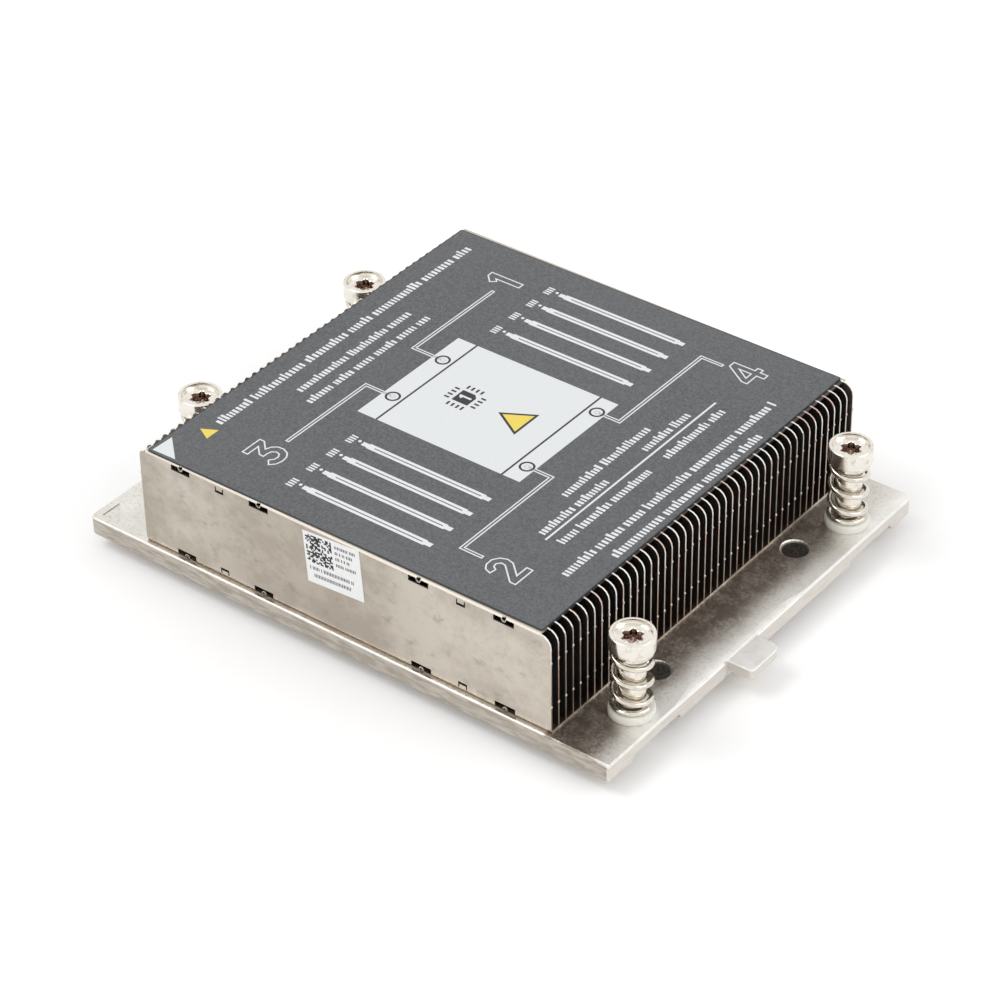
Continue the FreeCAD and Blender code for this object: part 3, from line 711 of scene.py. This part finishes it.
def sticker_paper():
    f = Finish("sticker_paper")
    fibre = f.noise(2.5, 3.0, 0.6)
    colour = f.blend(fibre.between(0.4, 0.7), (0.95, 0.95, 0.95), (0.90, 0.90, 0.895))
    return f.surface(colour, 0.55 + fibre * 0.1, 0.0, f.relief(fibre, 0.15, 0.01))


give("side_label", sticker_paper())
sticker_ink = print_ink("sticker_ink", (0.03, 0.03, 0.035), 0.7)


def on_sticker(piece):
    """Turns a mark drawn flat in X and Y, about the sticker's middle, onto the outer fin."""
    upright = Matrix.Rotation(math.pi / 2, 4, "X")
    tilt = Matrix.Rotation(-STICKER_TILT, 4, "Y")
    place = Matrix.Translation(Vector((STICKER_MIDDLE[0], STICKER_FACE, STICKER_MIDDLE[1])) * MM)
    piece.data.transform(place @ tilt @ upright)
    return seat(piece, "sink", "label_paper")


def code_square():
    """A square of dots, each cell black or left white at random."""
    g = Growth("code_square")
    cells = g.size("Cells", CODE_CELLS)
    cell = g.size("Cell size", CODE_CELL * MM)
    seed = g.size("Seed", 5)
    index = g.add("GeometryNodeInputIndex", {}, {})
    row = (index / cells).floor()
    column = index - row * cells
    corner = g.vector(column * cell, row * cell, 0.0)
    points = g.add("GeometryNodePoints", {}, {"Count": cells * cells, "Position": corner})
    black = g.add("FunctionNodeRandomValue", {"data_type": "BOOLEAN"}, {"Probability": 0.52, "Seed": seed}, 3)
    dot = g.add("GeometryNodeMeshCube", {}, {"Size": g.vector(cell, cell, 0.02 * MM)})
    dots = g.add("GeometryNodeInstanceOnPoints", {}, {"Points": points, "Selection": black, "Instance": dot})
    piece = g.piece("code_square", dots, sticker_ink)
    piece.data.transform(Matrix.Translation(Vector(CODE_CORNER) * MM))
    return piece


def sticker_lines():
    """Rows of fine ticks beside and under the square."""
    luck = random.Random(3)
    quads = []
    for x0, x1, y, height in STICKER_ROWS:
        x = x0
        while x < x1:
            width = luck.uniform(0.12, 0.22)
            quads.append(rectangle(x, x + width, y - height / 2, y + height / 2))
            x += width + (0.17 if luck.random() < 0.85 else 0.42)
    vertices, faces = [], []
    for quad in quads:
        start = len(vertices)
        vertices += [(p[0], p[1], -0.003) for p in quad] + [(p[0], p[1], 0.01) for p in quad]
        faces += [(start + 3, start + 2, start + 1, start), (start + 4, start + 5, start + 6, start + 7)]
        faces += [(start + i, start + (i + 1) % 4, start + 4 + (i + 1) % 4, start + 4 + i) for i in range(4)]
    return solid_mesh("sticker_lines", vertices, faces, sticker_ink)


on_sticker(code_square())
on_sticker(sticker_lines())

# Screw collars
# Milky plastic guides pressed through the base plate, with a flange for the spring to sit on.
# A snap ring under the plate holds each one, and its inner lip keeps the screw from falling out.
SCREW_PLACES = {1: (-50.5, 23.4), 2: (52.7, -33.0), 3: (-50.5, -23.4), 4: (52.7, 33.0)}
COLLAR_TOP, COLLAR_FOOT = 5.2, 0.3
RELIEF_TOP, LIP_TOP = 1.3, 1.0
FLANGE_RADIUS, STEM_RADIUS, BARB_RADIUS = 4.05, 3.3, 3.6
SHANK_BORE, NECK_BORE = 2.53, 1.63


def lathe(name, rings, count, material, smooth_angle=40):
    """Closed round piece about Z. A ring is a radius, or a radius for each angle, and a height."""
    vertices, faces, starts = [], [], []
    for radius, height in rings:
        starts.append(len(vertices))
        if radius == 0:
            vertices.append((0, 0, height))
            continue
        for i in range(count):
            turn = 2 * math.pi * i / count
            reach = radius(turn) if callable(radius) else radius
            vertices.append((reach * math.cos(turn), reach * math.sin(turn), height))
    closed = rings[0][0] != 0
    for k in range(len(rings) if closed else len(rings) - 1):
        a, b = starts[k], starts[(k + 1) % len(rings)]
        lone_a, lone_b = rings[k][0] == 0, rings[(k + 1) % len(rings)][0] == 0
        for i in range(count):
            j = (i + 1) % count
            if lone_a:
                faces.append((a, b + i, b + j))
            elif lone_b:
                faces.append((a + i, a + j, b))
            else:
                faces.append((a + i, a + j, b + j, b + i))
    return solid_mesh(name, vertices, faces, material, smooth_angle)


def milky_plastic():
    f = Finish("milky_plastic")
    haze = f.noise(0.8, 2.0, 0.5)
    colour = f.blend(haze.between(0.35, 0.65), (0.97, 0.955, 0.87), (0.92, 0.905, 0.82))
    return f.surface(colour, 0.34 + haze * 0.12, Subsurface_Weight=0.2, Subsurface_Radius=(1.0, 1.0, 0.9),
                     Subsurface_Scale=1.2 * MM)


collar_finish = milky_plastic()


def moved(piece, place):
    piece.data.transform(Matrix.Translation(Vector((place[0], place[1], 0)) * MM))
    return piece


def collars():
    """The four collars as one piece. Their rings run down the outside and up the bore."""
    rings = [(SHANK_BORE, COLLAR_TOP - 0.1), (SHANK_BORE + 0.1, COLLAR_TOP), (FLANGE_RADIUS - 0.3, COLLAR_TOP),
             (FLANGE_RADIUS - 0.1, COLLAR_TOP - 0.08), (FLANGE_RADIUS, COLLAR_TOP - 0.3),
             (FLANGE_RADIUS, BASE_TOP + 0.2), (FLANGE_RADIUS - 0.1, BASE_TOP + 0.02),
             (FLANGE_RADIUS - 0.25, BASE_TOP), (STEM_RADIUS, BASE_TOP), (STEM_RADIUS, RELIEF_TOP),
             (BARB_RADIUS, RELIEF_TOP), (BARB_RADIUS - 0.02, RELIEF_TOP - 0.15), (STEM_RADIUS, COLLAR_FOOT),
             (NECK_BORE + 0.12, COLLAR_FOOT), (NECK_BORE, COLLAR_FOOT + 0.1), (NECK_BORE, LIP_TOP),
             (SHANK_BORE, LIP_TOP)]
    pieces = [moved(lathe("screw_collars", rings, 48, collar_finish), place) for place in SCREW_PLACES.values()]
    first = pieces[0]
    shape = bmesh.new()
    for piece in pieces:
        shape.from_mesh(piece.data)
    shape.to_mesh(first.data)
    shape.free()
    for piece in pieces[1:]:
        bpy.data.objects.remove(piece)
    return first


seat(collars(), "sink", "collar_plastic", "screw_collars")

# Screw springs
# Round spring wire wound left-handed in about four turns, with a closed turn at each end.
# Each spring sits round its screw between the collar and the head, and holds the screw up.
SPRING_LENGTH = 12.2
WIRE_RADIUS = 0.5
SPRING_RADIUS = 3.3
SPRING_TURNS = 4.2
CLOSED_TURNS = 0.6


def bright_wire():
    f = Finish("spring_wire")
    drawn = f.noise(1.2, 2.0, 0.5)
    colour = f.blend(drawn.between(0.4, 0.7), (0.78, 0.74, 0.66), (0.68, 0.62, 0.54))
    return f.surface(colour, 0.1 + drawn * 0.1, 1.0)


wire_finish = bright_wire()


def spring(number):
    """A line whose points are laid round the axis and then given the wire's thickness."""
    g = Growth("coil_%d" % number)
    length = g.size("Free length", SPRING_LENGTH * MM)
    mean = g.size("Mean radius", SPRING_RADIUS * MM)
    wire = g.size("Wire radius", WIRE_RADIUS * MM)
    turns = g.size("Turns", SPRING_TURNS)
    dead = g.size("Closed turns at each end", CLOSED_TURNS)
    along = g.add("GeometryNodeSplineParameter", {}, {})
    wound = along * turns
    done = (wound - dead) / (turns - 2 * dead)
    share = done.smaller(1).larger(0)
    turn = wound * (-2 * math.pi)
    height = COLLAR_TOP * MM + wire + (length - 2 * wire) * share
    spot = g.vector(mean * turn.maths("COSINE", turn), mean * turn.maths("SINE", turn), height)
    line = g.add("GeometryNodeCurvePrimitiveLine", {}, {})
    fine = g.add("GeometryNodeResampleCurve", {}, {"Curve": line, "Count": 150})
    coil = g.add("GeometryNodeSetPosition", {}, {"Geometry": fine, "Position": spot})
    section = g.add("GeometryNodeCurvePrimitiveCircle", {}, {"Resolution": 12, "Radius": wire})
    tube = g.add("GeometryNodeCurveToMesh", {}, {"Curve": coil, "Profile Curve": section, "Fill Caps": True})
    smooth = g.add("GeometryNodeSetShadeSmooth", {}, {"Geometry": tube})
    return g.piece("spring_%d" % number, smooth, wire_finish)


for number, place in SCREW_PLACES.items():
    piece = moved(spring(number), place)
    seat(piece, "spring_%d" % number, "spring_wire", "screw_spring_%d" % number)
    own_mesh(piece)

# Captive screws
# Turned steel screws, bright nickel plated: a head with a raised rim round a six-lobe recess,
# a wide shank that slides in the collar, a thin neck and a threaded tip under the plate.
HEAD_TOP, HEAD_FOOT = 20.6, 17.4
HEAD_RADIUS, RIM_RADIUS = 4.05, 3.4
HEAD_FACE = HEAD_TOP - 0.8
RECESS_FLOOR = HEAD_FACE - 1.9
RECESS_REACH = 2.0
# Height up to which the recess gets painted shade.
RECESS_SHADE_BELOW = HEAD_TOP - 1.2
SHANK_RADIUS, SHANK_END = 2.45, 4.95
NECK_RADIUS, NECK_END = 1.55, 0.25
TIP_END = -2.85
THREAD_PITCH, THREAD_CORE, THREAD_DEPTH = 0.7, 1.6, 0.4
THREAD_LOW, THREAD_HIGH, THREAD_RINGS = -2.7, 0.15, 44


def bright_nickel():
    """Bright turned metal; the recess is painted darker brown as shade, by the attribute that marks its rings."""
    f = Finish("bright_nickel")
    turned_lines = f.noise(2.4, 2.0, 0.5, (0.15, 0.15, 1.6))
    spots = f.noise(0.7, 3.0, 0.6, shift=5.0)
    colour = f.blend(spots.between(0.5, 0.75), (0.85, 0.81, 0.74), (0.66, 0.59, 0.50))
    # Painted shade in the recess, in brown.
    recess = f.blend(spots.between(0.4, 0.6), (0.30, 0.22, 0.18), (0.46, 0.36, 0.31))
    colour = f.blend(f.attribute("recess"), colour, recess)
    return f.surface(colour, 0.1 + turned_lines * 0.1 + spots * 0.05, 1.0, f.relief(turned_lines, 0.12, 0.01))


def mark_recess_shade(screw):
    """Sets the attribute for the painted shade on the corners inside the recess, below the face of the head."""
    marks = screw.data.attributes.new("recess", "FLOAT", "POINT")
    for vertex, mark in zip(screw.data.vertices, marks.data):
        inside = math.hypot(vertex.co.x, vertex.co.y) < RECESS_REACH * MM
        mark.value = 1.0 if inside and HEAD_FOOT * MM < vertex.co.z < RECESS_SHADE_BELOW * MM else 0.0
    return screw


screw_finish = bright_nickel()


def lobes(outer, waist):
    """Radius of a six-lobe outline at each angle."""
    return lambda turn: (outer + waist) / 2 + (outer - waist) / 2 * math.cos(6 * turn)


def thread_ring(height, fade):
    """Radius round a ring of the thread, where fade brings the ridge down to the core at the ends."""
    def radius(turn):
        phase = (height / THREAD_PITCH - turn / (2 * math.pi)) % 1.0
        ridge = 1 - abs(2 * phase - 1)
        return THREAD_CORE + THREAD_DEPTH * min(max(ridge * 1.25 - 0.1, 0), 1) * fade
    return radius


def screw_rings():
    """From the tip up the outside, over the rim and down into the recess."""
    rings = [(0, TIP_END), (1.2, TIP_END), (1.45, TIP_END + 0.05)]
    for step in range(THREAD_RINGS + 1):
        height = THREAD_LOW + (THREAD_HIGH - THREAD_LOW) * step / THREAD_RINGS
        fade = min(1, (height - THREAD_LOW) / 0.45, (THREAD_HIGH - height) / 0.2 + 0.05)
        rings.append((thread_ring(height, max(fade, 0)), height))
    rings += [(NECK_RADIUS, NECK_END), (NECK_RADIUS, SHANK_END), (SHANK_RADIUS - 0.2, SHANK_END),
              (SHANK_RADIUS, SHANK_END + 0.2), (SHANK_RADIUS, HEAD_FOOT), (HEAD_RADIUS - 0.2, HEAD_FOOT),
              (HEAD_RADIUS - 0.05, HEAD_FOOT + 0.08), (HEAD_RADIUS, HEAD_FOOT + 0.22),
              (HEAD_RADIUS, HEAD_TOP - 0.3), (HEAD_RADIUS - 0.07, HEAD_TOP - 0.1), (HEAD_RADIUS - 0.23, HEAD_TOP),
              (RIM_RADIUS + 0.16, HEAD_TOP), (RIM_RADIUS + 0.04, HEAD_TOP - 0.05), (RIM_RADIUS, HEAD_TOP - 0.18),
              (RIM_RADIUS - 0.02, HEAD_FACE + 0.12), (RIM_RADIUS - 0.14, HEAD_FACE)]
    for outer, waist, height in ((2.12, 1.62, HEAD_FACE), (1.98, 1.46, HEAD_FACE - 0.12),
                                 (1.95, 1.44, HEAD_FACE - 0.7), (1.93, 1.42, RECESS_FLOOR + 0.1),
                                 (1.8, 1.3, RECESS_FLOOR)):
        rings.append((lobes(outer, waist), height))
    return rings + [(0, RECESS_FLOOR - 0.35)]


for number, place in SCREW_PLACES.items():
    screw = moved(mark_recess_shade(lathe("screw_%d" % number, screw_rings(), 72, screw_finish)), place)
    seat(screw, "screw_%d" % number, "screw_nickel", "captive_screw_%d" % number)

# Studio
# A white table and plain soft light. The camera stands where the photograph was taken from.
TABLE_Z = TIP_END
TABLE_HALF = 3000
TABLE_GLOW = 0.12
ROOM_STRENGTH = 0.7


def seen_rays(tree):
    """1 for what the camera sees, also by way of metal or glass, and 0 for what only lights the object."""
    rays = tree.add("ShaderNodeLightPath", {}, {})
    direct, mirrored, through = (rays.output("Is %s Ray" % kind) for kind in ("Camera", "Glossy", "Transmission"))
    return direct.larger(mirrored).larger(through)


def white_table():
    """Matt white, lifted a little where it is seen, so that it shows as white round the shadows."""
    f = Finish("white_table")
    fleck = f.noise(0.02, 1.0, 0.5)
    f.surface(f.blend(fleck, (0.97, 0.97, 0.97), (1.0, 1.0, 1.0)), 0.9, Specular_IOR_Level=0.1)
    outlet = next(n for n in f.tree.nodes if n.type == "OUTPUT_MATERIAL")
    diffuse = Wire(f, outlet.inputs["Surface"].links[0].from_socket)
    glow = f.add("ShaderNodeEmission", {}, {"Color": (1, 1, 1, 1), "Strength": TABLE_GLOW})
    lifted = f.add("ShaderNodeAddShader", {}, {0: diffuse, 1: glow})
    mixed = f.add("ShaderNodeMixShader", {}, {0: seen_rays(f), 1: diffuse, 2: lifted})
    f.tree.links.new(mixed.socket, outlet.inputs["Surface"])
    return f.material


table_corners = [(x, y, TABLE_Z) for x, y in rectangle(-TABLE_HALF, TABLE_HALF, -TABLE_HALF, TABLE_HALF)]
table = solid_mesh("table", table_corners, [(0, 1, 2, 3)], white_table())

scene = bpy.context.scene
world = bpy.data.worlds.new("studio")
world.use_nodes = True
scene.world = world
room = Tree(world.node_tree)
room.tree.nodes.clear()
soft = room.add("ShaderNodeBackground", {}, {"Color": (1, 1, 1, 1), "Strength": ROOM_STRENGTH})
white = room.add("ShaderNodeBackground", {}, {"Color": (1, 1, 1, 1), "Strength": 1.0})
both = room.add("ShaderNodeMixShader", {}, {0: seen_rays(room), 1: soft, 2: white})
room.add("ShaderNodeOutputWorld", {}, {"Surface": both})


def lamp(name, place, size, watts):
    light = bpy.data.lights.new(name, "AREA")
    light.shape = "DISK"
    light.size = size
    light.energy = watts
    holder = bpy.data.objects.new(name, light)
    holder.location = place
    holder.rotation_euler = (-Vector(place)).to_track_quat("-Z", "Y").to_euler()
    scene.collection.objects.link(holder)


lamp("key", (-0.55, -0.5, 1.1), 0.7, 4.6)
lamp("fill", (0.9, 0.3, 0.8), 0.9, 2.4)

AZIMUTH, ELEVATION, ROLL = math.radians(37.527), math.radians(36.381), math.radians(-0.646)
TARGET = Vector((9.254, -3.936, 10.0)) * MM
DISTANCE = 605.06 * MM
IMAGE_SIDE, FOCAL_PIXELS = 1000, 3406.16
IMAGE_MIDDLE_X, IMAGE_MIDDLE_Y = 529.04, 505.71
forward = Vector((-math.sin(AZIMUTH) * math.cos(ELEVATION), math.cos(AZIMUTH) * math.cos(ELEVATION),
                  -math.sin(ELEVATION)))
level_right = forward.cross(Vector((0, 0, 1))).normalized()
level_up = level_right.cross(forward)
right = level_right * math.cos(ROLL) + level_up * math.sin(ROLL)
up = level_up * math.cos(ROLL) - level_right * math.sin(ROLL)
lens = bpy.data.cameras.new("camera")
lens.lens = FOCAL_PIXELS / IMAGE_SIDE * lens.sensor_width
lens.shift_x = (IMAGE_SIDE / 2 - IMAGE_MIDDLE_X) / IMAGE_SIDE
lens.shift_y = (IMAGE_MIDDLE_Y - IMAGE_SIDE / 2) / IMAGE_SIDE
lens.clip_start = 0.05
camera = bpy.data.objects.new("camera", lens)
turn = Matrix((right, up, -forward)).transposed().to_4x4()
camera.matrix_world = Matrix.Translation(TARGET - forward * DISTANCE) @ turn
scene.collection.objects.link(camera)
scene.camera = camera
scene.view_settings.view_transform = "Standard"
